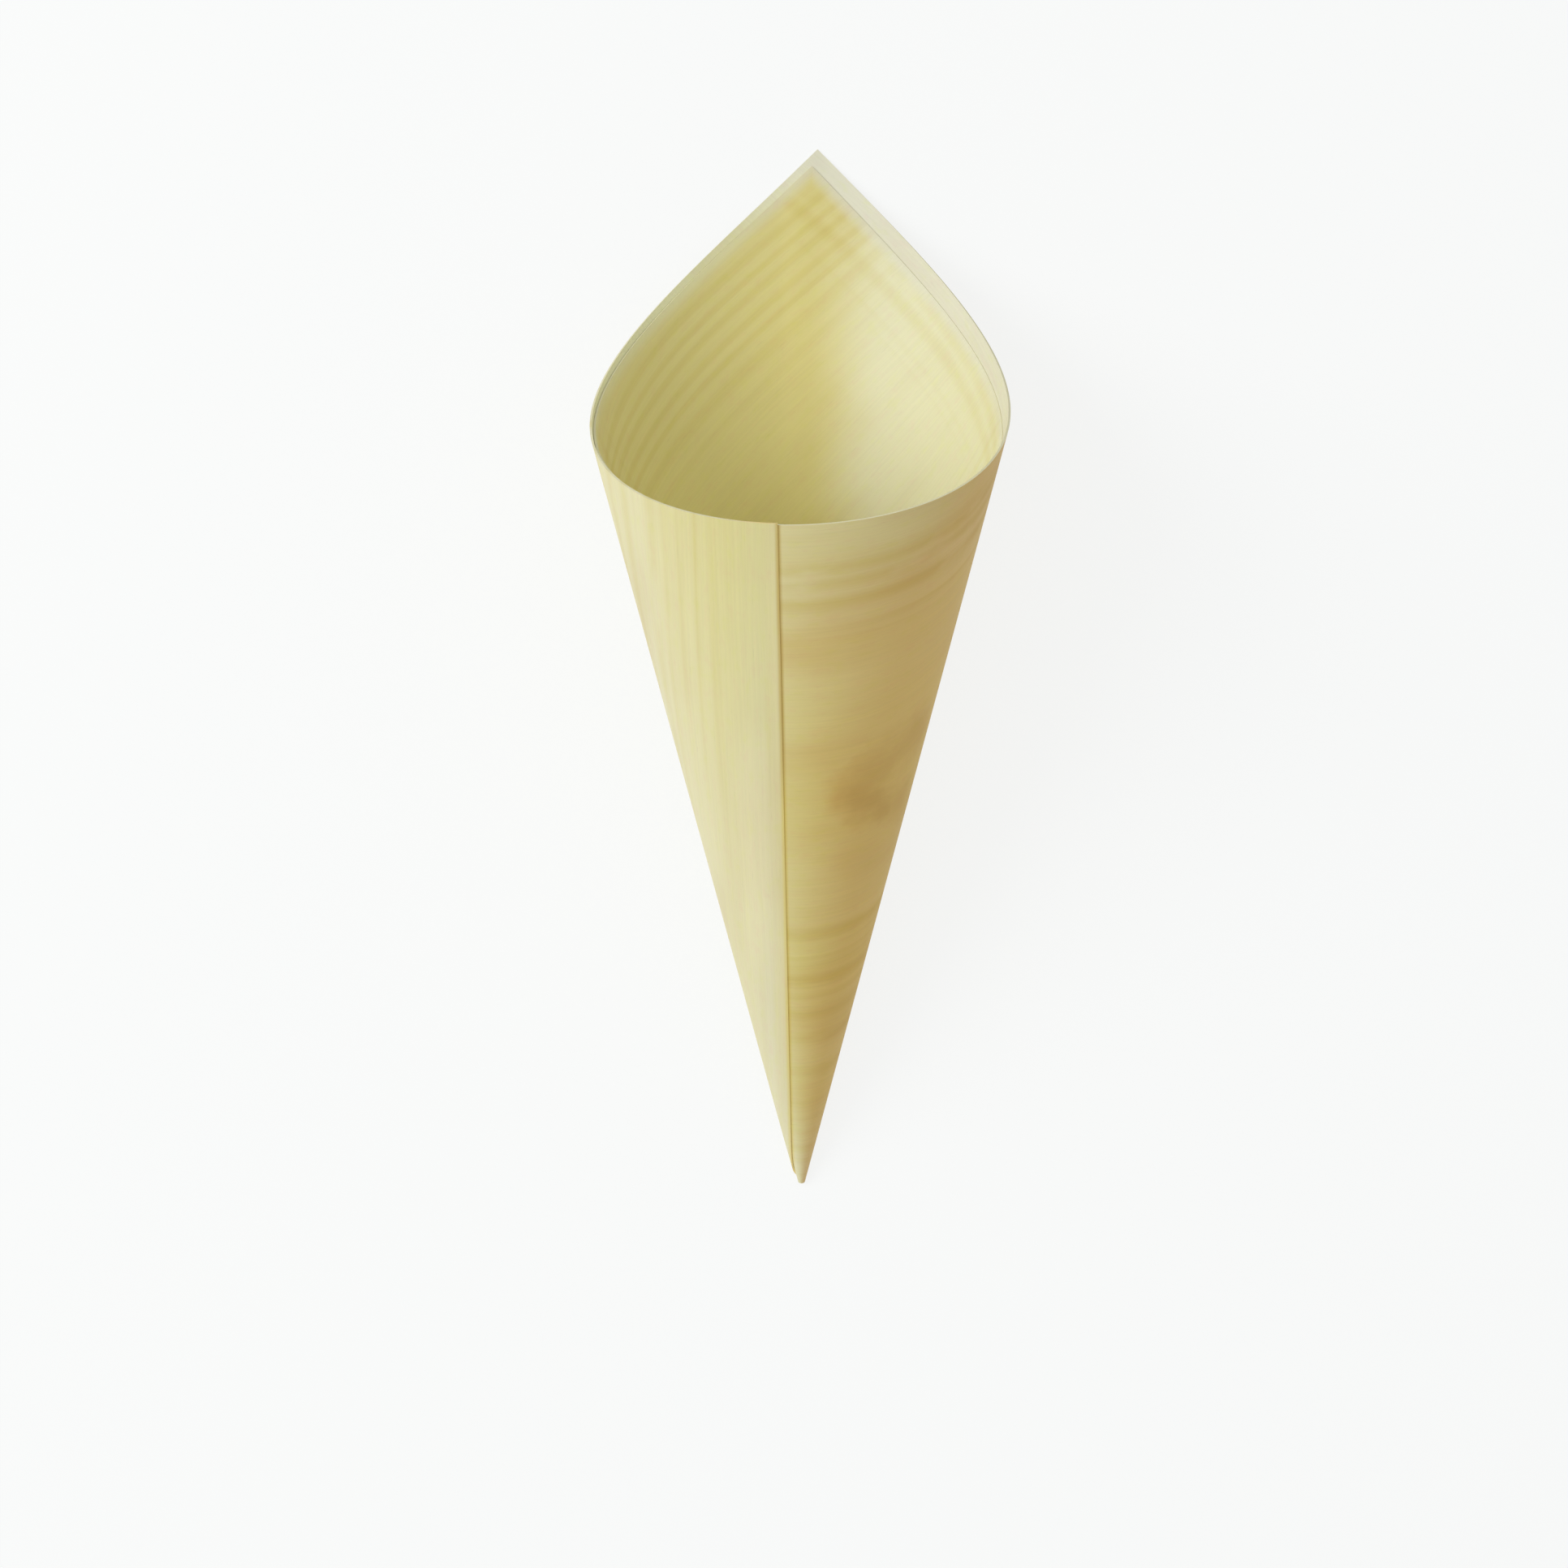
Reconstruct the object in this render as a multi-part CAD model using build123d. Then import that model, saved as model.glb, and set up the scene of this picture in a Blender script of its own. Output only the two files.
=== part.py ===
from build123d import *
import os
from math import acos, asin, asinh, atan2, ceil, cos, degrees, floor, hypot, pi, sin, sinh, tan

# Wooden food cone: one strip of veneer, twice as long as it is wide, rolled two turns round the
# middle of one long side. That middle becomes the tip, the other long side and the two short ends
# become the rim, and each half of the strip makes one turn of the wall. Sizes are in millimetres.

# The strip before it is rolled, with the grain along its length. The tip falls a little off the
# middle of the long side, so the outer turn's half is longer than the inner turn's by outer_lead
strip_width = 125.6
strip_length = 250.7
outer_lead = 4.2
veneer_thickness = 0.35

# The roll: one turn takes up turn_angle degrees of the flat strip, and the turns stand turn_gap apart
turn_angle = 89.5
turn_gap = 0.08
tip_hole_radius = 0.1

# The flat spot along the line that the cone lies on
flat_spot_depth = 0.15

# How much of the step between turns the tip hole has to clear, and how much of a half turn the last
# one may run on past its end
tip_step_share = 0.25
run_on_share = 0.25

# The blank that the rolled strip is cut from: how much taller it is, and the bore at its point
spare_share = 0.05
bore_share = 0.25
cut_lines = 81
grid_lines = 40

# Sizes that follow
inner_length = (strip_length - outer_lead) / 2
outer_length = (strip_length + outer_lead) / 2
half_angle = asin(turn_angle / 360)
turn_step = veneer_thickness + turn_gap
tip_wall = veneer_thickness / 2 + tip_step_share * turn_step
tip_offset = (tip_hole_radius + tip_wall * cos(half_angle)) / sin(half_angle)
rim_offset = tip_offset + strip_width
blank_reach = hypot(rim_offset, outer_length) * (1 + spare_share)
cut_reach = blank_reach * (1 + spare_share)
bore_radius = tip_hole_radius * bore_share

# The wall in half turns, numbered from the front line outwards (0, 1) and inwards (-1, -2)
last_turn = 90 * 360 / turn_angle
half_count = ceil(last_turn / 180 - run_on_share)
half_turns = range(-half_count, half_count)
spare_turn = last_turn - 180 * half_count


def side(half):
    """Which way a half turn's own axis stands off the roll's axis: 1 to the back, -1 to the front."""
    return -1 if half % 2 else 1


def axis_shift(half):
    """How far a half turn's own axis stands off, so that each half turn runs on into the next."""
    return side(half) * turn_step / 4 / cos(half_angle)


def wall_place(half, reach, depth):
    """Radius and height of a place in a half turn's wall, this far up the wall and into it."""
    lift = turn_step * (2 * half + 1) / 4 + depth
    radius = reach * sin(half_angle) + lift * cos(half_angle)
    height = reach * cos(half_angle) - lift * sin(half_angle)
    return radius, height


def rolled(across, along, depth):
    """A point of the flat strip, carried round the upright cone. The cone's point is the origin."""
    turn = atan2(along, across) * 360 / turn_angle
    half = min(max(floor(turn / pi), half_turns[0]), half_turns[-1])
    radius, height = wall_place(half, hypot(across, along), depth)
    return Vector(axis_shift(half) - radius * cos(turn), -radius * sin(turn), height)


def half_blank(half):
    """One half turn of the wall with spare height: its section, revolved about its own axis."""
    inside, outside = [], []
    for line, depth in ((inside, -veneer_thickness / 2), (outside, veneer_thickness / 2)):
        foot = (bore_radius - wall_place(half, 0, depth)[0]) / sin(half_angle)
        for reach in (foot, blank_reach):
            radius, height = wall_place(half, reach, depth)
            line.append((-side(half) * radius, 0, height))
    section = make_face(Polyline(*inside, *reversed(outside), close=True))
    start = -spare_turn if half == half_turns[0] else 0
    stop = 180 + spare_turn if half == half_turns[-1] else 180
    turned = revolve(Rot(0, 0, start) * section, Axis.Z, stop - start)
    return Pos(axis_shift(half), 0, 0) * turned


def straight_line(offset, first, last):
    """Places on a straight line of the flat strip between two directions, closer near its middle."""
    start, stop = asinh(tan(first)), asinh(tan(last))
    steps = [start + (stop - start) * number / (cut_lines - 1) for number in range(cut_lines)]
    return [(offset, offset * sinh(step)) for step in steps]


def widest(offset):
    """The direction in which a straight line of the strip leaves the blank."""
    return acos(offset / cut_reach)


def trimmed(wall, places):
    """The wall without what lies beyond one edge of the strip, cut square through the veneer."""
    shares = [number / (cut_lines - 1) for number in range(cut_lines)]
    rails = []
    for depth in (-turn_step / 2, turn_step / 2):
        points = [rolled(across, along, depth) for across, along in places]
        rails.append(Edge.make_spline(points, parameters=shares))
    pieces = wall.split(Face.make_surface_from_curves(*rails), keep=Keep.ALL)
    kept_place = rolled(rim_offset / 2, 0, 0)
    return next(piece for piece in pieces if piece.is_inside(kept_place))


# The rolled blank, upright on its point, cut along the strip's four edges: the tip's side, the
# rim's side, and the short ends of the outer and the inner turn
blanks = [half_blank(half).solid() for half in half_turns]
cone = blanks[0].fuse(*blanks[1:])
cone = trimmed(cone, straight_line(tip_offset, -widest(tip_offset), widest(tip_offset)))
cone = trimmed(cone, straight_line(rim_offset, -widest(rim_offset), widest(rim_offset)))
outer_end = straight_line(outer_length, 0, widest(outer_length))
cone = trimmed(cone, [(across, along) for along, across in outer_end])
inner_end = straight_line(inner_length, 0, widest(inner_length))
cone = trimmed(cone, [(across, -along) for along, across in inner_end])

# The cone's heavy side, from an even grid of places on the strip
grid_shares = [(number + 0.5) / grid_lines for number in range(grid_lines)]
heavy = Vector(0, 0, 0)
for across_share in grid_shares:
    for along_share in grid_shares:
        across = tip_offset + strip_width * across_share
        heavy += rolled(across, strip_length * along_share - inner_length, 0)

# Laid on its heavy side, the tall back of the wall, with the seam on top and the mouth towards +X
cone = Rot(0, 0, -degrees(atan2(heavy.Y, heavy.X))) * cone
cone = Rot(0, 90 - degrees(half_angle), 0) * cone
flat_spot = Plane.XY.offset(cone.bounding_box().min.Z + flat_spot_depth)
cone = cone.split(flat_spot, keep=Keep.TOP)
box = cone.bounding_box()
cone = Pos(-box.center().X, -box.center().Y, -box.min.Z) * cone
cone.label = "rolled_veneer_cone"

os.makedirs("parts", exist_ok=True)
export_step(cone, "parts/rolled_veneer_cone.step")
print("size", cone.bounding_box().size, "heavy side", degrees(atan2(heavy.Y, heavy.X)))
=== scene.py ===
from math import asin, asinh, atan2, cos, exp, floor, hypot, pi, radians, sin, sinh
import bmesh
import bpy
from mathutils import Matrix, Vector


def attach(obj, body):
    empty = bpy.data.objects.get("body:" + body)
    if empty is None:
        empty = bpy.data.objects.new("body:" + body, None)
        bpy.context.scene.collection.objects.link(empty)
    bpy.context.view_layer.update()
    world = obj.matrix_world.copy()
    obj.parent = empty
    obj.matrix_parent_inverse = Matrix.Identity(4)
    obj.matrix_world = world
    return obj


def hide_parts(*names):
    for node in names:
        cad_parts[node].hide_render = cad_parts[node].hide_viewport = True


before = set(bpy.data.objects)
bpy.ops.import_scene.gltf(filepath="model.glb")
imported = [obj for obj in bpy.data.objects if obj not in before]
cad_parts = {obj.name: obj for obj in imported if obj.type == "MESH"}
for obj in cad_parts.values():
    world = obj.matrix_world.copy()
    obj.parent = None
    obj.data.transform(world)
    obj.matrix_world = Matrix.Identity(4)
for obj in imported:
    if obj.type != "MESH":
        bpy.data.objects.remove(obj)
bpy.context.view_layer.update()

# The cone: one sheet of peeled softwood veneer, cut twice as long as it is wide with the grain along
# its length. It is rolled two turns round a place on one long side, which becomes the tip, and its
# turns are glued. Lengths are in metres.
strip_width = 0.1256
strip_length = 0.2507
outer_lead = 0.0042
veneer_thickness = 0.00035
turn_gap = 0.00008
turn_angle = radians(89.5)
tip_hole_radius = 0.0001
tip_step_share = 0.25

inner_length = (strip_length - outer_lead) / 2
outer_length = (strip_length + outer_lead) / 2
half_angle = asin(turn_angle / (2 * pi))
turn_step = veneer_thickness + turn_gap
tip_wall = veneer_thickness / 2 + tip_step_share * turn_step
tip_offset = (tip_hole_radius + tip_wall * cos(half_angle)) / sin(half_angle)
rim_offset = tip_offset + strip_width

# The free edges, at the seam and inside the mouth, are pressed on the other turn and a little crushed
edge_press = 0.00007
press_reach = 0.004
edge_crush = 0.00021
crush_reach = 0.0014

# The cone lies on its heavy side: how far round its axis it is turned, and where its point would be
lie_turn = radians(4.5693)
point_place = Vector((-0.0905797, 0.0000891, 0.0002403))
lay_down = (
    Matrix.Translation(point_place)
    @ Matrix.Rotation(pi / 2 - half_angle, 4, "Y")
    @ Matrix.Rotation(-lie_turn, 4, "Z")
)

# The mesh follows the straight lines of the cone: columns round it, and rows from the tip edge to the
# rim, closer together towards both
inner_columns = 260
tip_columns = 240
outer_columns = 260
columns = inner_columns + tip_columns + outer_columns
rows = 48
merge_distance = 0.000001


def column_place(column):
    """Where a column starts on the tip edge: the strip's far corners fall exactly on columns."""
    ends = [
        (0, -asinh(inner_length / tip_offset)),
        (inner_columns, -asinh(inner_length / rim_offset)),
        (inner_columns + tip_columns, asinh(outer_length / rim_offset)),
        (columns, asinh(outer_length / tip_offset)),
    ]
    for (start, low), (stop, high) in zip(ends, ends[1:]):
        if column <= stop:
            return tip_offset * sinh(low + (high - low) * (column - start) / (stop - start))


def strip_place(column, row):
    """A grid point's place on the flat strip: across it from the cone's point, and along it."""
    along = column_place(column)
    length = outer_length if along > 0 else inner_length
    growth = rim_offset / tip_offset
    if abs(along) * growth > length:
        growth = length / abs(along)
    share = 1 + (growth - 1) * (1 - cos(pi * row / rows)) / 2
    return tip_offset * share, along * share


def wall_point(reach, turn, depth):
    """A place in the rolled wall: up it from the point, round it, and out from its middle."""
    half = min(max(floor(turn / pi), -2), 1)
    side = -1 if half % 2 else 1
    lift = turn_step * (2 * half + 1) / 4 + depth
    radius = reach * sin(half_angle) + lift * cos(half_angle)
    height = reach * cos(half_angle) - lift * sin(half_angle)
    shift = side * turn_step / 4 / cos(half_angle)
    return lay_down @ Vector((shift - radius * cos(turn), -radius * sin(turn), height))


def rolled(across, along, depth):
    """A place on the flat strip, carried round the cone, flat where the cone rests on the floor."""
    reach = hypot(across, along)
    turn = atan2(along, across) * 2 * pi / turn_angle
    if turn > pi:
        lapped = (turn / pi - 1) ** 2
        depth -= edge_press * lapped * exp((tip_offset - across) / press_reach)
        if depth > 0:
            depth -= edge_crush * lapped * exp((tip_offset - across) / crush_reach)
    if turn < 0:
        depth += edge_press * exp(-(inner_length + along) / press_reach)
        if depth < 0:
            depth += edge_crush * exp(-(inner_length + along) / crush_reach)
    place = wall_point(reach, turn, depth)
    outer_turn = turn if turn > 0 else turn + 2 * pi
    sunk = wall_point(reach, outer_turn, veneer_thickness / 2).z
    place.z -= min(sunk, 0)
    return place


bm = bmesh.new()
bmesh.ops.create_grid(bm, x_segments=columns, y_segments=rows, size=0.5)
flat_place = bm.verts.layers.float_vector.new("flat_place")
strip_map = bm.loops.layers.uv.new("strip")


def map_face(face):
    """Give a face its place on the strip: along it, and across it."""
    for loop in face.loops:
        across, along, depth = loop.vert[flat_place]
        loop[strip_map].uv = (along, across)


for vert in bm.verts:
    column = round((vert.co.x + 0.5) * columns)
    row = round((vert.co.y + 0.5) * rows)
    vert[flat_place] = (*strip_place(column, row), -veneer_thickness / 2)
for face in bm.faces:
    face.smooth = True
    map_face(face)

raised = bmesh.ops.extrude_face_region(bm, geom=bm.faces[:], use_keep_orig=True)["geom"]
for vert in raised:
    if isinstance(vert, bmesh.types.BMVert):
        across, along, depth = vert[flat_place]
        vert[flat_place] = (across, along, veneer_thickness / 2)
for vert in bm.verts:
    vert.co = rolled(*vert[flat_place])
bmesh.ops.remove_doubles(bm, verts=bm.verts[:], dist=merge_distance)
bmesh.ops.recalc_face_normals(bm, faces=bm.faces[:])

# Cut edges: the faces that join the strip's two sides. Extruding makes them in no fixed order, so they
# are put in order from the tip to the mouth
cut_faces = []
for face in bm.faces:
    depths = [vert[flat_place].z for vert in face.verts]
    if min(depths) < 0 < max(depths):
        cut_faces.append(face)
        face.material_index = 1
        face.smooth = False
        map_face(face)
        for edge in face.edges:
            if edge.verts[0][flat_place].z * edge.verts[1][flat_place].z > 0:
                edge.smooth = False
cut_faces.sort(key=lambda face: tuple(face.calc_center_median()))
bm.faces.index_update()
for index, face in enumerate(cut_faces, len(bm.faces)):
    face.index = index
bm.faces.sort()

mesh = bpy.data.meshes.new("rolled_veneer")
bm.to_mesh(mesh)
bm.free()
rolled_veneer = bpy.data.objects.new("rolled_veneer", mesh)
bpy.context.scene.collection.objects.link(rolled_veneer)


def place_node(tree, kind, inputs, **settings):
    """Put a node in a tree, with values or links on its inputs, and give its first output."""
    node = tree.nodes.new(kind)
    for name, setting in settings.items():
        setattr(node, name, setting)
    for socket, value in inputs.items():
        if isinstance(value, bpy.types.NodeSocket):
            tree.links.new(value, node.inputs[socket])
        else:
            node.inputs[socket].default_value = value
    return node.outputs[0]


def reckon(tree, operation, *values):
    """One step of arithmetic between sockets or numbers."""
    return place_node(tree, "ShaderNodeMath", dict(enumerate(values)), operation=operation)


def rest_of(tree, share):
    """What a share leaves of one."""
    return reckon(tree, "SUBTRACT", 1, share)


def vector_step(tree, operation, *places):
    """One step of arithmetic between places, which gives a place."""
    return place_node(tree, "ShaderNodeVectorMath", dict(enumerate(places)), operation=operation)


def scaled(tree, place, scale):
    """A place or a colour, times a number."""
    inputs = {0: place, "Scale": scale}
    return place_node(tree, "ShaderNodeVectorMath", inputs, operation="SCALE")


def vector_measure(tree, operation, *places):
    """One step of arithmetic between places, which gives a number."""
    return vector_step(tree, operation, *places).node.outputs["Value"]


def noise(tree, place, stretch, detail, roughness):
    """Noise over the strip, stretched along it and across it by so much for each millimetre."""
    stretched = vector_step(tree, "MULTIPLY", place, (*stretch, 0))
    values = {"Vector": stretched, "Scale": 1, "Detail": detail, "Roughness": roughness}
    return place_node(tree, "ShaderNodeTexNoise", values)


def between(tree, value, low, high):
    """Nought below low, one above high, and a smooth rise from one to the other."""
    values = {"Value": value, "From Min": low, "From Max": high}
    return place_node(tree, "ShaderNodeMapRange", values, interpolation_type="SMOOTHSTEP")


def zone(tree, value, rise, fall):
    """One between a rise and a fall, and nought before and after them."""
    return reckon(tree, "SUBTRACT", between(tree, value, *rise), between(tree, value, *fall))


def blend_colour(tree, share, first, second, blend_type="MIX"):
    """One colour laid over another, by a share."""
    node = tree.nodes.new("ShaderNodeMix")
    node.data_type = "RGBA"
    node.blend_type = blend_type
    for socket, value in (("Factor_Float", share), ("A_Color", first), ("B_Color", second)):
        slot = next(inp for inp in node.inputs if inp.identifier == socket)
        if isinstance(value, bpy.types.NodeSocket):
            tree.links.new(value, slot)
        else:
            slot.default_value = value if socket == "Factor_Float" else (*value, 1)
    return next(out for out in node.outputs if out.identifier == "Result_Color")


def tint(tree, share, colour, tint_colour):
    """A colour darkened by a tint, by a share."""
    return blend_colour(tree, share, colour, tint_colour, "MULTIPLY")


# The grain of the veneer: growth rings that run along the strip, wander, and fade from place to place,
# a few bold ones among them, fine fibres, short flecks, a mottle, and a few dark streaks among soft
# clouds. Lengths are in millimetres along and across the strip.
millimetres = 1000
tip_offset_mm = millimetres * tip_offset
rim_offset_mm = millimetres * rim_offset
inner_length_mm = millimetres * inner_length

ring_period = 3.1
ring_start = 7.13
ring_unevenness = 1.3
ring_darkens = (0.2, 0.75)
ring_fades = (0.75, 1.0)
plain_ring_share = 0.65
sweep_rise = 6.5
sweep_length = 180.0
wander = 1.4
ring_strength = (0.38, 0.72)
faint_rings = (0.25, 0.6)
quiet_from = (57, 64)
quiet_to = (104, 110)
quiet_share = 0.85
band_wave = (-0.6, 1.0)
regular_bands_from = (94, 108)
line_strength = (0.5, 0.8)
tone_range = (0.3, 0.7)
bold_rings = (
    (118.9, 1.0), (116.3, 0.95), (112.9, 1.0),
    (51.2, 0.9), (44.9, 0.35), (42.4, 0.9), (35.9, 0.65), (30.8, 0.75), (24.2, 0.65),
)
bold_width = 2.2
broken_range = (0.28, 0.52)
fleck_range = (0.66, 0.80)
rosy_range = (0.5, 0.72)
sallow_range = (0.5, 0.28)

# Each dark streak: where it starts and stops, how far it reaches to its sides, and how dark it is
dark_streaks = (
    ((9.6, 77.3), (24.5, 83.5), 5.0, 0.6),
    ((11.5, 76.0), (16.3, 72.8), 4.4, 0.85),
    ((16.3, 72.8), (23.0, 69.5), 4.6, 0.5),
)
streak_edge = (-0.2, 1.5)
streak_raggedness = 2.0
soft_cloud_range = (0.42, 0.75)
soft_cloud_share = 0.35

# Noises: how they stretch along and across the strip, their detail, and their roughness
wander_noise = ((0.012, 0.03), 2, 0.5)
strength_noise = ((0.013, 0.2), 2, 0.5)
broken_noise = ((0.05, 0.14), 3, 0.6)
ragged_noise = ((0.12, 0.18), 3, 0.6)
cloud_noise = ((0.022, 0.045), 3, 0.5)
mottle_noise = ((0.30, 0.65), 4, 0.6)
fibre_noise = ((0.05, 2.4), 4, 0.65)
fleck_noise = ((0.33, 5.5), 1, 0.5)

# Noises that change only from ring to ring: their period, and where they start
uneven_noise = (11.0, 3.0)
faint_noise = (40.0, 19.0)
line_noise = (0.9, 41.0)
tone_noise = (17.0, 11.0)

grain = bpy.data.node_groups.new("veneer grain", "ShaderNodeTree")
grain.interface.new_socket("Place", in_out="INPUT", socket_type="NodeSocketVector")
for output in ("Rings", "Bands", "Lines", "Tone", "Fibres", "Flecks", "Rosy", "Sallow", "Cloud"):
    grain.interface.new_socket(output, in_out="OUTPUT", socket_type="NodeSocketFloat")
place = grain.nodes.new("NodeGroupInput").outputs["Place"]
split = grain.nodes.new("ShaderNodeSeparateXYZ")
grain.links.new(place, split.inputs[0])
along, across = split.outputs["X"], split.outputs["Y"]

swing = reckon(grain, "COSINE", reckon(grain, "MULTIPLY", along, 2 * pi / sweep_length))
sweep = reckon(grain, "MULTIPLY", rest_of(grain, swing), sweep_rise / 2)
sweep = reckon(grain, "MULTIPLY", sweep, reckon(grain, "DIVIDE", across, rim_offset_mm))
drift = reckon(grain, "SUBTRACT", noise(grain, place, *wander_noise), 0.5)
drift = reckon(grain, "MULTIPLY_ADD", drift, 2 * wander, sweep)
ring_place = reckon(grain, "SUBTRACT", across, drift)
grain_place = place_node(grain, "ShaderNodeCombineXYZ", {"X": along, "Y": ring_place})


def ring_noise(period, start):
    """Noise that changes only from ring to ring."""
    count = reckon(grain, "MULTIPLY_ADD", ring_place, 1 / period, start)
    values = {"W": count, "Scale": 1, "Detail": 1, "Roughness": 0.5}
    return place_node(grain, "ShaderNodeTexNoise", values, noise_dimensions="1D")


# A ring darkens slowly through the summer and fades sooner than it came
ring_count = reckon(grain, "MULTIPLY_ADD", ring_place, 1 / ring_period, ring_start)
ring_count = reckon(grain, "MULTIPLY_ADD", ring_noise(*uneven_noise), ring_unevenness, ring_count)
season = reckon(grain, "FRACT", ring_count)
rings = zone(grain, season, ring_darkens, ring_fades)
strength = between(grain, noise(grain, grain_place, *strength_noise), *ring_strength)
faint = between(grain, ring_noise(*faint_noise), *faint_rings)
strength = reckon(grain, "MULTIPLY", strength, faint)
quiet = zone(grain, ring_place, quiet_from, quiet_to)
loud = reckon(grain, "MULTIPLY_ADD", quiet, -quiet_share, 1)
strength = reckon(grain, "MULTIPLY", strength, loud)
rings = reckon(grain, "MULTIPLY", rings, reckon(grain, "MULTIPLY", strength, plain_ring_share))
wave = reckon(grain, "COSINE", reckon(grain, "MULTIPLY", ring_count, 2 * pi))
regular = reckon(grain, "MAXIMUM", strength, between(grain, ring_place, *regular_bands_from))
bands = reckon(grain, "MULTIPLY", between(grain, wave, *band_wave), regular)
lines = between(grain, ring_noise(*line_noise), *line_strength)
lines = reckon(grain, "MULTIPLY", lines, strength)
bold = 0.0
for bold_place, boldness in bold_rings:
    near = reckon(grain, "ABSOLUTE", reckon(grain, "SUBTRACT", ring_place, bold_place))
    ring = rest_of(grain, between(grain, near, 0.0, bold_width))
    bold = reckon(grain, "MAXIMUM", bold, reckon(grain, "MULTIPLY", ring, boldness))
broken = between(grain, noise(grain, grain_place, *broken_noise), *broken_range)
rings = reckon(grain, "MAXIMUM", rings, reckon(grain, "MULTIPLY", bold, broken))

# A few dark streaks close together, among soft clouds
ragged = noise(grain, place, *ragged_noise)
ragged = reckon(grain, "MULTIPLY_ADD", ragged, streak_raggedness, -streak_raggedness / 2)
cloud = between(grain, noise(grain, place, *cloud_noise), *soft_cloud_range)
cloud = reckon(grain, "MULTIPLY", cloud, soft_cloud_share)
for start, stop, reach, darkness in dark_streaks:
    run = Vector(stop) - Vector(start)
    offset = vector_step(grain, "SUBTRACT", place, (*start, 0))
    share = vector_measure(grain, "DOT_PRODUCT", offset, (*(run / run.length_squared), 0))
    share = reckon(grain, "MINIMUM", reckon(grain, "MAXIMUM", share, 0), 1)
    nearest = scaled(grain, (*run, 0), share)
    away = vector_measure(grain, "DISTANCE", offset, nearest)
    away = reckon(grain, "MULTIPLY_ADD", away, 1 / reach, ragged)
    dark = rest_of(grain, between(grain, away, *streak_edge))
    cloud = reckon(grain, "MAXIMUM", cloud, reckon(grain, "MULTIPLY", dark, darkness))

mottle = noise(grain, grain_place, *mottle_noise)
outputs = {
    "Rings": rings,
    "Bands": bands,
    "Lines": lines,
    "Tone": between(grain, ring_noise(*tone_noise), *tone_range),
    "Fibres": noise(grain, grain_place, *fibre_noise),
    "Flecks": between(grain, noise(grain, grain_place, *fleck_noise), *fleck_range),
    "Rosy": between(grain, mottle, *rosy_range),
    "Sallow": between(grain, mottle, *sallow_range),
    "Cloud": cloud,
}
group_output = grain.nodes.new("NodeGroupOutput")
for name, socket in outputs.items():
    grain.links.new(socket, group_output.inputs[name])


def strip_millimetres(tree):
    """The place on the strip, in a material: along it, and across it."""
    strip_uv = place_node(tree, "ShaderNodeUVMap", {}, uv_map="strip")
    return scaled(tree, strip_uv, millimetres)


def grain_at(tree, place):
    """The grain group in a material, at a place on the strip."""
    return place_node(tree, "ShaderNodeGroup", {"Place": place}, node_tree=grain).node.outputs


# The broad faces of the veneer: bare peeled wood, pale and a little silky. Outside, the side turned
# from the lamp is painted yellower and browner, with stronger rings. This is painted shade: the deeper
# colour that a shaded face takes on. Places are in degrees round the cone from its front line, minus
# on the inner turn, or in millimetres along, across or up the strip.
pale_cream = (0.835, 0.790, 0.520)
warm_cream = (0.820, 0.765, 0.455)
ring_tint = (0.900, 0.855, 0.640)
cloud_tint = (0.800, 0.700, 0.570)
rosy_tint = (1.000, 0.960, 0.985)
sallow_tint = (0.985, 1.000, 0.900)
painted_shade_yellow = (0.975, 0.920, 0.570)
painted_shade_brown = (0.960, 0.760, 0.590)
edge_tint = (0.990, 0.975, 0.700)

cloud_waver = 55
lamp_side_from = (130, 250)
shade_yellows_from = (-60, 15)
tip_yellows = (3, 22)
rim_pales = (90, 122)
paler_share = 0.4
shade_browns_from = (-15, 50)
rim_clears = (113, 126)
rim_clears_until = (35, 75)
rim_clear_share = 0.6
edge_turn = (280, 358)
edge_along = (20, 135)
lamp_side_ring_share = 0.7
line_share = 0.18

veneer = bpy.data.materials.new("peeled veneer")
veneer.use_nodes = True
mesh.materials.append(veneer)
tree = veneer.node_tree
strip_mm = strip_millimetres(tree)
split = tree.nodes.new("ShaderNodeSeparateXYZ")
tree.links.new(strip_mm, split.inputs[0])
along, across = split.outputs["X"], split.outputs["Y"]
up_wall = vector_measure(tree, "LENGTH", strip_mm)
turn = reckon(tree, "MULTIPLY", reckon(tree, "ARCTAN2", along, across), 360 / turn_angle)
figure = grain_at(tree, strip_mm)

outside = blend_colour(tree, figure["Tone"], pale_cream, warm_cream)
# Painted shade: yellow, then brown, over the side turned from the lamp, less near the tip and the rim
wavering = reckon(tree, "MULTIPLY_ADD", figure["Cloud"], cloud_waver, turn)
away_from_lamp = rest_of(tree, between(tree, wavering, *lamp_side_from))
yellow_shade = reckon(tree, "MULTIPLY", between(tree, turn, *shade_yellows_from), away_from_lamp)
paler = between(tree, across, *rim_pales)
paler = reckon(tree, "MULTIPLY_ADD", paler, -paler_share, paler_share)
paler = reckon(tree, "MULTIPLY_ADD", between(tree, across, *tip_yellows), 1 - paler_share, paler)
yellow_shade = reckon(tree, "MULTIPLY", yellow_shade, paler)
outside = tint(tree, yellow_shade, outside, painted_shade_yellow)
brown_shade = reckon(tree, "MULTIPLY", between(tree, wavering, *shade_browns_from), away_from_lamp)
near_rim = between(tree, across, *rim_clears)
near_rim = reckon(tree, "SUBTRACT", near_rim, between(tree, turn, *rim_clears_until))
near_rim = reckon(tree, "MAXIMUM", near_rim, 0)
uncleared = reckon(tree, "MULTIPLY_ADD", near_rim, -rim_clear_share, 1)
brown_shade = reckon(tree, "MULTIPLY", brown_shade, uncleared)
outside = tint(tree, brown_shade, outside, painted_shade_brown)
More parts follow.
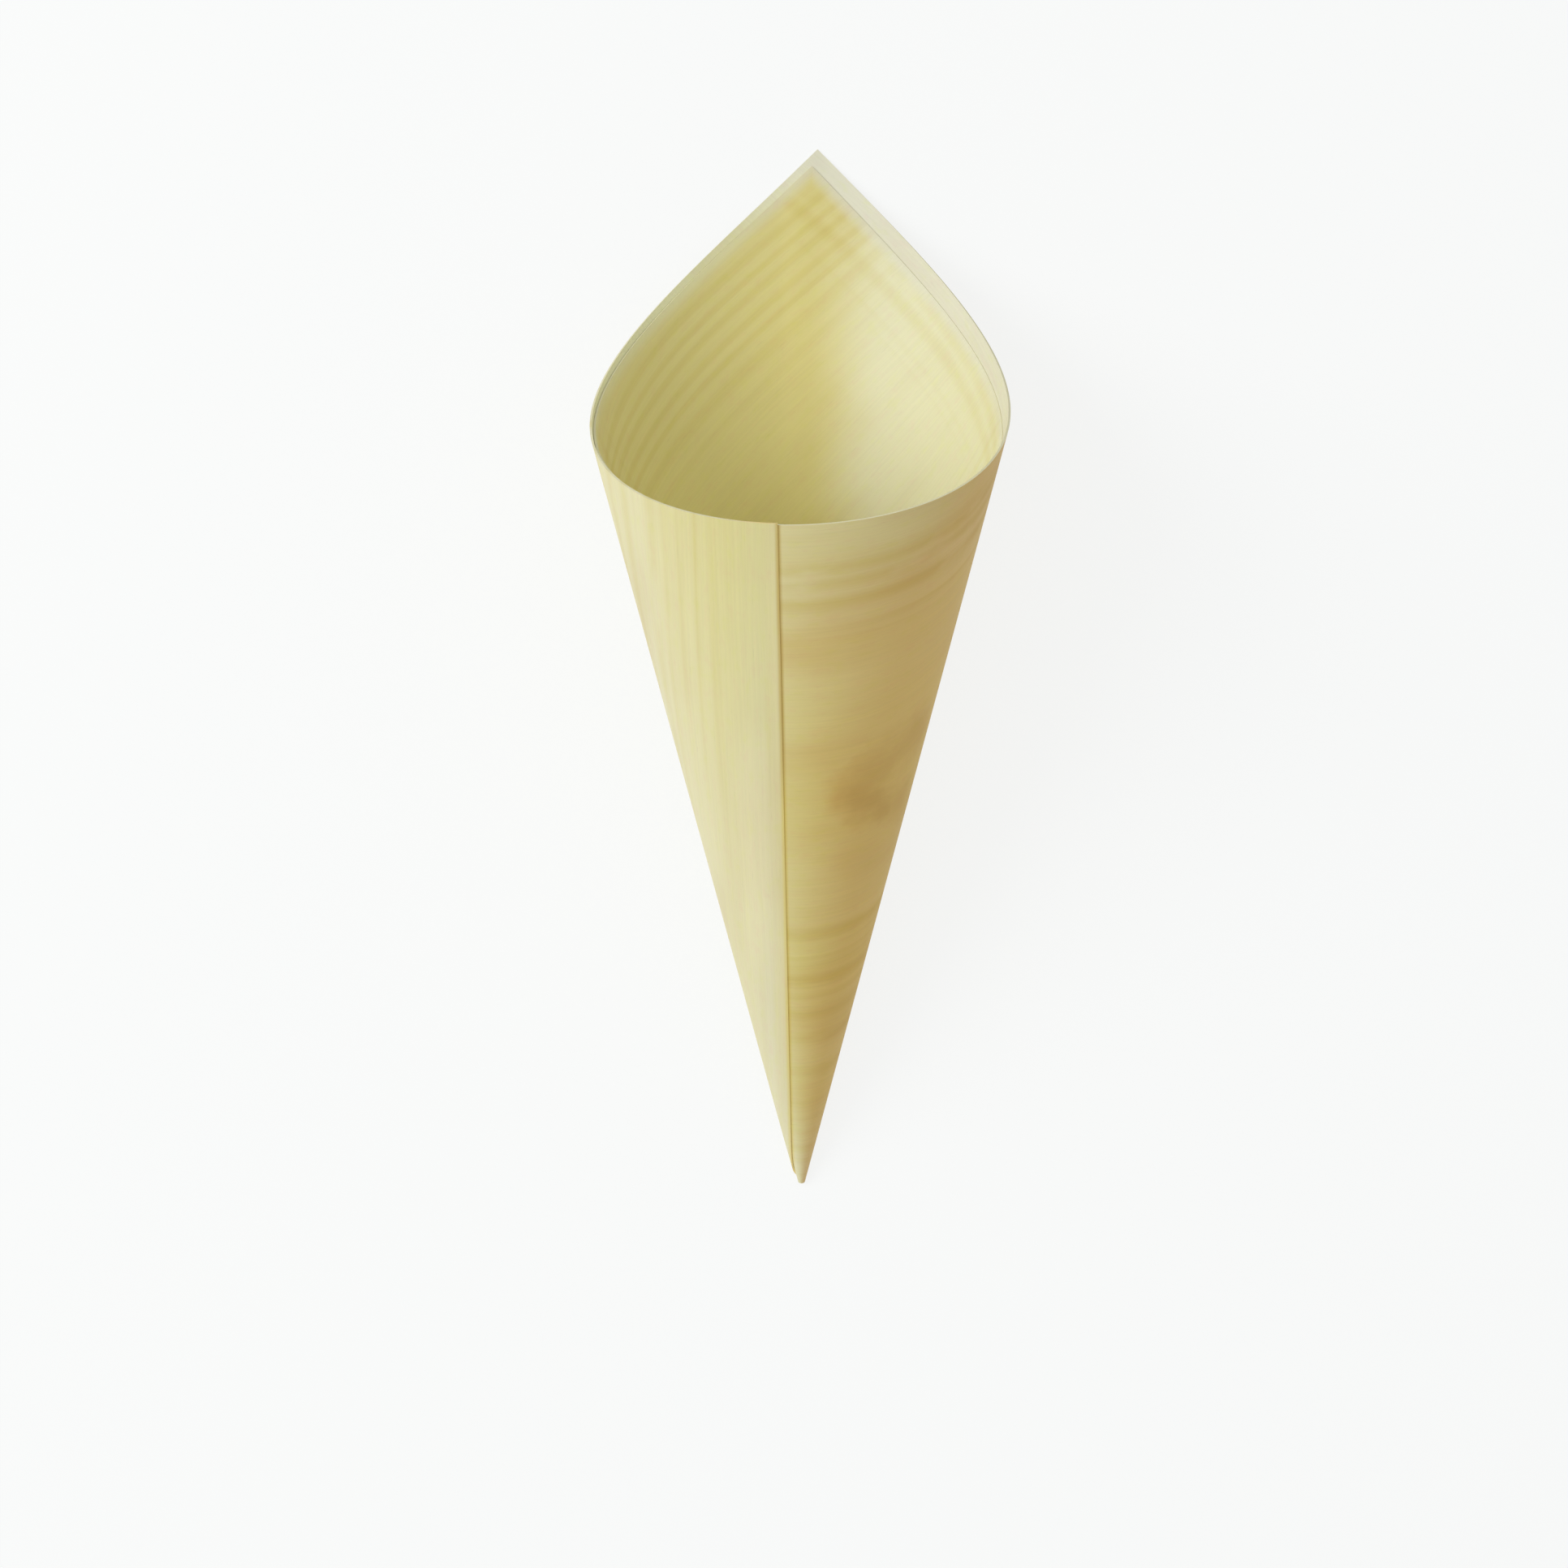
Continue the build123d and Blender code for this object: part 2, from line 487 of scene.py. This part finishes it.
near_edge = between(tree, turn, *edge_turn)
near_edge = reckon(tree, "MULTIPLY", near_edge, between(tree, along, *edge_along))
outside = tint(tree, near_edge, outside, edge_tint)
# The rings are painted stronger where the painted shade lies
ring_share = reckon(tree, "MULTIPLY_ADD", brown_shade, 1 - lamp_side_ring_share, lamp_side_ring_share)
ring_share = reckon(tree, "MULTIPLY", figure["Rings"], ring_share)
ring_share = reckon(tree, "MULTIPLY_ADD", figure["Lines"], line_share, ring_share)
outside = tint(tree, ring_share, outside, ring_tint)

# The lap's edge is painted lighter and warmer, and a band beside it is painted lighter half way up.
# This is painted light, which lifts the shade where the wall by the seam and its crushed edge turn
# from the lamp. Glue that has come out along the seam has left the wood amber on both sides of it,
# browner towards the rim
lap_lit_cream = (0.905, 0.820, 0.430)
lap_lit_band = (0.905, 0.845, 0.510)
glue_amber = (0.985, 0.905, 0.560)
glue_brown = (0.780, 0.650, 0.380)
lap_turn = 180
lap_width = (0.3, 3.2)
lap_up_wall = (8, 40)
lap_share = 0.8
light_from = (0.5, 3)
light_to = (5, 10)
half_way_from = (38, 58)
half_way_to = (75, 95)
light_share = 0.75
glue_width = (0.05, 0.7)
glue_browns = (72, 92)
patch_noise = ((0.05, 0.05), 2, 0.5)
patch_range = (0.35, 0.6)
patch_share = 0.2

lapped = reckon(tree, "GREATER_THAN", turn, lap_turn)
on_lap = reckon(tree, "SUBTRACT", across, tip_offset_mm)
# Painted light: the lap's crushed edge, turned from the lamp, lifted with a lighter, warmer cream
edge_painted_light = reckon(tree, "SUBTRACT", lapped, between(tree, on_lap, *lap_width))
edge_painted_light = reckon(tree, "MAXIMUM", edge_painted_light, 0)
edge_painted_light = reckon(tree, "MULTIPLY", edge_painted_light, between(tree, up_wall, *lap_up_wall))
edge_painted_light = reckon(tree, "MULTIPLY", edge_painted_light, lap_share)
outside = blend_colour(tree, edge_painted_light, outside, lap_lit_cream)
# Painted light: a lighter band beside the seam, half way up the wall
light = reckon(tree, "MULTIPLY", zone(tree, on_lap, light_from, light_to), lapped)
half_way = zone(tree, up_wall, half_way_from, half_way_to)
light = reckon(tree, "MULTIPLY", light, reckon(tree, "MULTIPLY", half_way, light_share))
outside = blend_colour(tree, light, outside, lap_lit_band)
under_lap = reckon(tree, "MULTIPLY_ADD", across, -(pi / 2 - turn_angle), along)
under_lap = reckon(tree, "ADD", under_lap, tip_offset_mm)
from_seam = place_node(tree, "ShaderNodeMix", {"Factor": lapped, "A": under_lap, "B": on_lap})
from_seam = reckon(tree, "ABSOLUTE", from_seam)
glue = rest_of(tree, between(tree, from_seam, *glue_width))
patchy = between(tree, noise(tree, strip_mm, *patch_noise), *patch_range)
patchy = reckon(tree, "MULTIPLY_ADD", patchy, patch_share, 1 - patch_share)
glue = reckon(tree, "MULTIPLY", glue, patchy)
glue_tint = blend_colour(tree, between(tree, up_wall, *glue_browns), glue_amber, glue_brown)
outside = tint(tree, glue, outside, glue_tint)

# Inside, both turns are paler than the outside. This is partly the inner face's own tone and partly
# painted light, which lifts the shade inside the cone. On the side turned from the lamp, both turns
# are painted yellower, the inner turn more and darker, and the outer turn lighter. This is painted
# shade, the deeper colour that the shaded side takes on, and on the outer turn painted light lifts it
# too.
# The inner turn is paler along its edges, and so is all of the outer turn that shows beyond it
inside_pale_lit = (0.915, 0.895, 0.598)
inside_shade_yellow = (0.848, 0.762, 0.308)
lining_pale = (0.870, 0.855, 0.670)
lining_lit_shade_yellow = (0.910, 0.900, 0.560)
inside_waver = 17
inside_shade_yellows = (-200, -174)
inside_fades = (-130, -20)
inside_fade_share = 0.7
band_share = 0.48
through_share = 0.45
lining_shade_side = (178, 205)
lining_from = (20, 60)
fringe_width = 2.6
fringe_share = 0.75

# Painted shade: the inner turn darker and yellower on the side turned from the lamp
uneven = reckon(tree, "MULTIPLY_ADD", figure["Cloud"], inside_waver, turn)
faded = between(tree, uneven, *inside_fades)
faded = reckon(tree, "MULTIPLY_ADD", faded, -inside_fade_share, 1)
yellower = reckon(tree, "MULTIPLY", between(tree, uneven, *inside_shade_yellows), faded)
inside = blend_colour(tree, yellower, inside_pale_lit, inside_shade_yellow)
banded = reckon(tree, "MULTIPLY", figure["Bands"], band_share)
inside = tint(tree, banded, inside, ring_tint)

# The rings of the outer turn, which run square to the inner turn's, show faintly through it
outer_along = reckon(tree, "MULTIPLY", across, sin(turn_angle))
outer_along = reckon(tree, "MULTIPLY_ADD", along, cos(turn_angle), outer_along)
outer_across = reckon(tree, "MULTIPLY", across, cos(turn_angle))
outer_across = reckon(tree, "MULTIPLY_ADD", along, -sin(turn_angle), outer_across)
outer_mm = place_node(tree, "ShaderNodeCombineXYZ", {"X": outer_along, "Y": outer_across})
through = reckon(tree, "MULTIPLY", grain_at(tree, outer_mm)["Rings"], through_share)
inside = tint(tree, through, inside, ring_tint)

# Painted light and shade: the lining lighter and yellower on the side turned from the lamp
whole_turn = reckon(tree, "MULTIPLY_ADD", reckon(tree, "LESS_THAN", turn, 0), 360, turn)
lining = between(tree, whole_turn, *lining_shade_side)
lining = blend_colour(tree, lining, lining_pale, lining_lit_shade_yellow)
from_side = reckon(tree, "SUBTRACT", rim_offset_mm, across)
from_end = reckon(tree, "ADD", along, inner_length_mm)
from_edge = reckon(tree, "MINIMUM", from_side, from_end)
fringe = rest_of(tree, between(tree, from_edge, 0, fringe_width))
fringe = reckon(tree, "MULTIPLY", fringe, fringe_share)
lined = reckon(tree, "MAXIMUM", between(tree, turn, *lining_from), fringe)
inside = blend_colour(tree, lined, inside, lining)

# Both faces: the mottle, the clouds and streaks, the fibres' shade, sheen and relief
fibre_shade = 0.15
fleck_shade = 0.07
smoothest = 0.48
fibre_roughness = 0.25
ring_relief = 0.5
relief_strength = 0.25
relief_depth = 0.00006

face_side = place_node(tree, "ShaderNodeAttribute", {}, attribute_name="flat_place").node
side_split = tree.nodes.new("ShaderNodeSeparateXYZ")
tree.links.new(face_side.outputs["Vector"], side_split.inputs[0])
is_inside = reckon(tree, "LESS_THAN", side_split.outputs["Z"], 0)
colour = blend_colour(tree, is_inside, outside, inside)
colour = tint(tree, figure["Rosy"], colour, rosy_tint)
colour = tint(tree, figure["Sallow"], colour, sallow_tint)
colour = tint(tree, figure["Cloud"], colour, cloud_tint)
shade = reckon(tree, "MULTIPLY_ADD", figure["Fibres"], fibre_shade, 1 - fibre_shade / 2)
shade = reckon(tree, "MULTIPLY_ADD", figure["Flecks"], -fleck_shade, shade)
shader = tree.nodes["Principled BSDF"]
tree.links.new(scaled(tree, colour, shade), shader.inputs["Base Color"])
rough = reckon(tree, "MULTIPLY_ADD", figure["Fibres"], fibre_roughness, smoothest)
tree.links.new(rough, shader.inputs["Roughness"])
height = reckon(tree, "MULTIPLY_ADD", figure["Rings"], ring_relief, figure["Fibres"])
relief = {"Height": height, "Strength": relief_strength, "Distance": relief_depth}
tree.links.new(place_node(tree, "ShaderNodeBump", relief), shader.inputs["Normal"])

# The cut edges of the veneer: the knife's clean cut across the sheet, all round the strip. It is pale
# and dull along the rim. Along the free edge at the seam it is amber, as the wood there is, but
# painted brighter. This is painted light, which lifts the shade on that edge, since it faces away from
# the lamp.
rim_cream = (0.820, 0.785, 0.520)
lit_edge_amber = (0.930, 0.740, 0.320)
amber_ends = (3, 12)
edge_fibre_shade = 0.2
edge_smoothest = 0.65
edge_fibre_roughness = 0.2

cut_edge = bpy.data.materials.new("cut edge of the veneer")
cut_edge.use_nodes = True
mesh.materials.append(cut_edge)
tree = cut_edge.node_tree
strip_mm = strip_millimetres(tree)
split = tree.nodes.new("ShaderNodeSeparateXYZ")
tree.links.new(strip_mm, split.inputs[0])
figure = grain_at(tree, strip_mm)
# Painted light: the free edge at the seam in a brightened amber, to lift its shade
pale = between(tree, split.outputs["Y"], *amber_ends)
colour = blend_colour(tree, pale, lit_edge_amber, rim_cream)
colour = tint(tree, figure["Rings"], colour, ring_tint)
shade = reckon(tree, "MULTIPLY_ADD", figure["Fibres"], edge_fibre_shade, 1 - edge_fibre_shade / 2)
shader = tree.nodes["Principled BSDF"]
tree.links.new(scaled(tree, colour, shade), shader.inputs["Base Color"])
rough = reckon(tree, "MULTIPLY_ADD", figure["Fibres"], edge_fibre_roughness, edge_smoothest)
tree.links.new(rough, shader.inputs["Roughness"])

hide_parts("rolled_veneer_cone")
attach(rolled_veneer, "root")

# The floor: a plain pale sheet that the cone lies on, not part of the object. It is dull paint, which
# takes the cone's soft shadow, and it glows a little where the camera sees it, so that it looks
# nearly white.
floor_size = 4.0
floor_white = (0.95, 0.96, 0.955, 1)
floor_roughness = 0.9
glow_white = (0.99, 1, 0.995, 1)
glow_share = 0.82


def looked_at(tree):
    """One where the camera sees a surface, straight or in gloss or glass, and nought elsewhere."""
    seen = tree.nodes.new("ShaderNodeLightPath").outputs
    looked = reckon(tree, "MAXIMUM", seen["Is Camera Ray"], seen["Is Glossy Ray"])
    return reckon(tree, "MAXIMUM", looked, seen["Is Transmission Ray"])


bm = bmesh.new()
bmesh.ops.create_grid(bm, x_segments=1, y_segments=1, size=floor_size / 2)
mesh = bpy.data.meshes.new("floor")
bm.to_mesh(mesh)
bm.free()
floor_sheet = bpy.data.objects.new("floor", mesh)
bpy.context.scene.collection.objects.link(floor_sheet)
floor_paint = bpy.data.materials.new("pale floor")
floor_paint.use_nodes = True
mesh.materials.append(floor_paint)
tree = floor_paint.node_tree
paint = tree.nodes["Principled BSDF"]
paint.inputs["Base Color"].default_value = floor_white
paint.inputs["Roughness"].default_value = floor_roughness
paint.inputs["Specular IOR Level"].default_value = 0.0
glow = tree.nodes.new("ShaderNodeEmission")
glow.inputs["Color"].default_value = glow_white
mixed = tree.nodes.new("ShaderNodeMixShader")
tree.links.new(reckon(tree, "MULTIPLY", looked_at(tree), glow_share), mixed.inputs[0])
tree.links.new(paint.outputs[0], mixed.inputs[1])
tree.links.new(glow.outputs[0], mixed.inputs[2])
tree.links.new(mixed.outputs[0], tree.nodes["Material Output"].inputs["Surface"])

# The light: one large soft lamp on the left of the picture, and an even pale surround that fills the
# shadows. The surround gives only part of the light of the white that the camera sees.
lamp_size = 0.7
lamp_power = 4.2
lamp_distance = 1.0
lamp_aim = Vector((0, 0, 0.03))
lamp_direction = Vector((0.15, 0.77, 0.62)).normalized()
surround_strength = 0.54

lamp_data = bpy.data.lights.new("soft lamp", "AREA")
lamp_data.shape = "DISK"
lamp_data.size = lamp_size
lamp_data.energy = lamp_power
soft_lamp = bpy.data.objects.new("soft lamp", lamp_data)
bpy.context.scene.collection.objects.link(soft_lamp)
soft_lamp.location = lamp_aim + lamp_direction * lamp_distance
soft_lamp.rotation_euler = lamp_direction.to_track_quat("Z", "Y").to_euler()

world = bpy.data.worlds.new("pale surround")
bpy.context.scene.world = world
world.use_nodes = True
tree = world.node_tree
background = tree.nodes["Background"]
background.inputs["Color"].default_value = (1, 1, 1, 1)
surround = reckon(tree, "MULTIPLY_ADD", looked_at(tree), 1 - surround_strength, surround_strength)
tree.links.new(surround, background.inputs["Strength"])

# The camera: a long lens that looks down on the lying cone from the side of its seam, a little off
# the upright, with the tip towards the bottom of the picture and the mouth towards the top.
camera_data = bpy.data.cameras.new("camera")
camera_data.sensor_width = 36.0
camera_data.lens = 96.085
camera = bpy.data.objects.new("camera", camera_data)
bpy.context.scene.collection.objects.link(camera)
camera.location = (-0.018512, -0.011361, 0.724001)
camera.rotation_euler = (radians(-0.14486), radians(1.14935), radians(-89.89227))
bpy.context.scene.camera = camera
bpy.context.scene.view_settings.view_transform = "Standard"
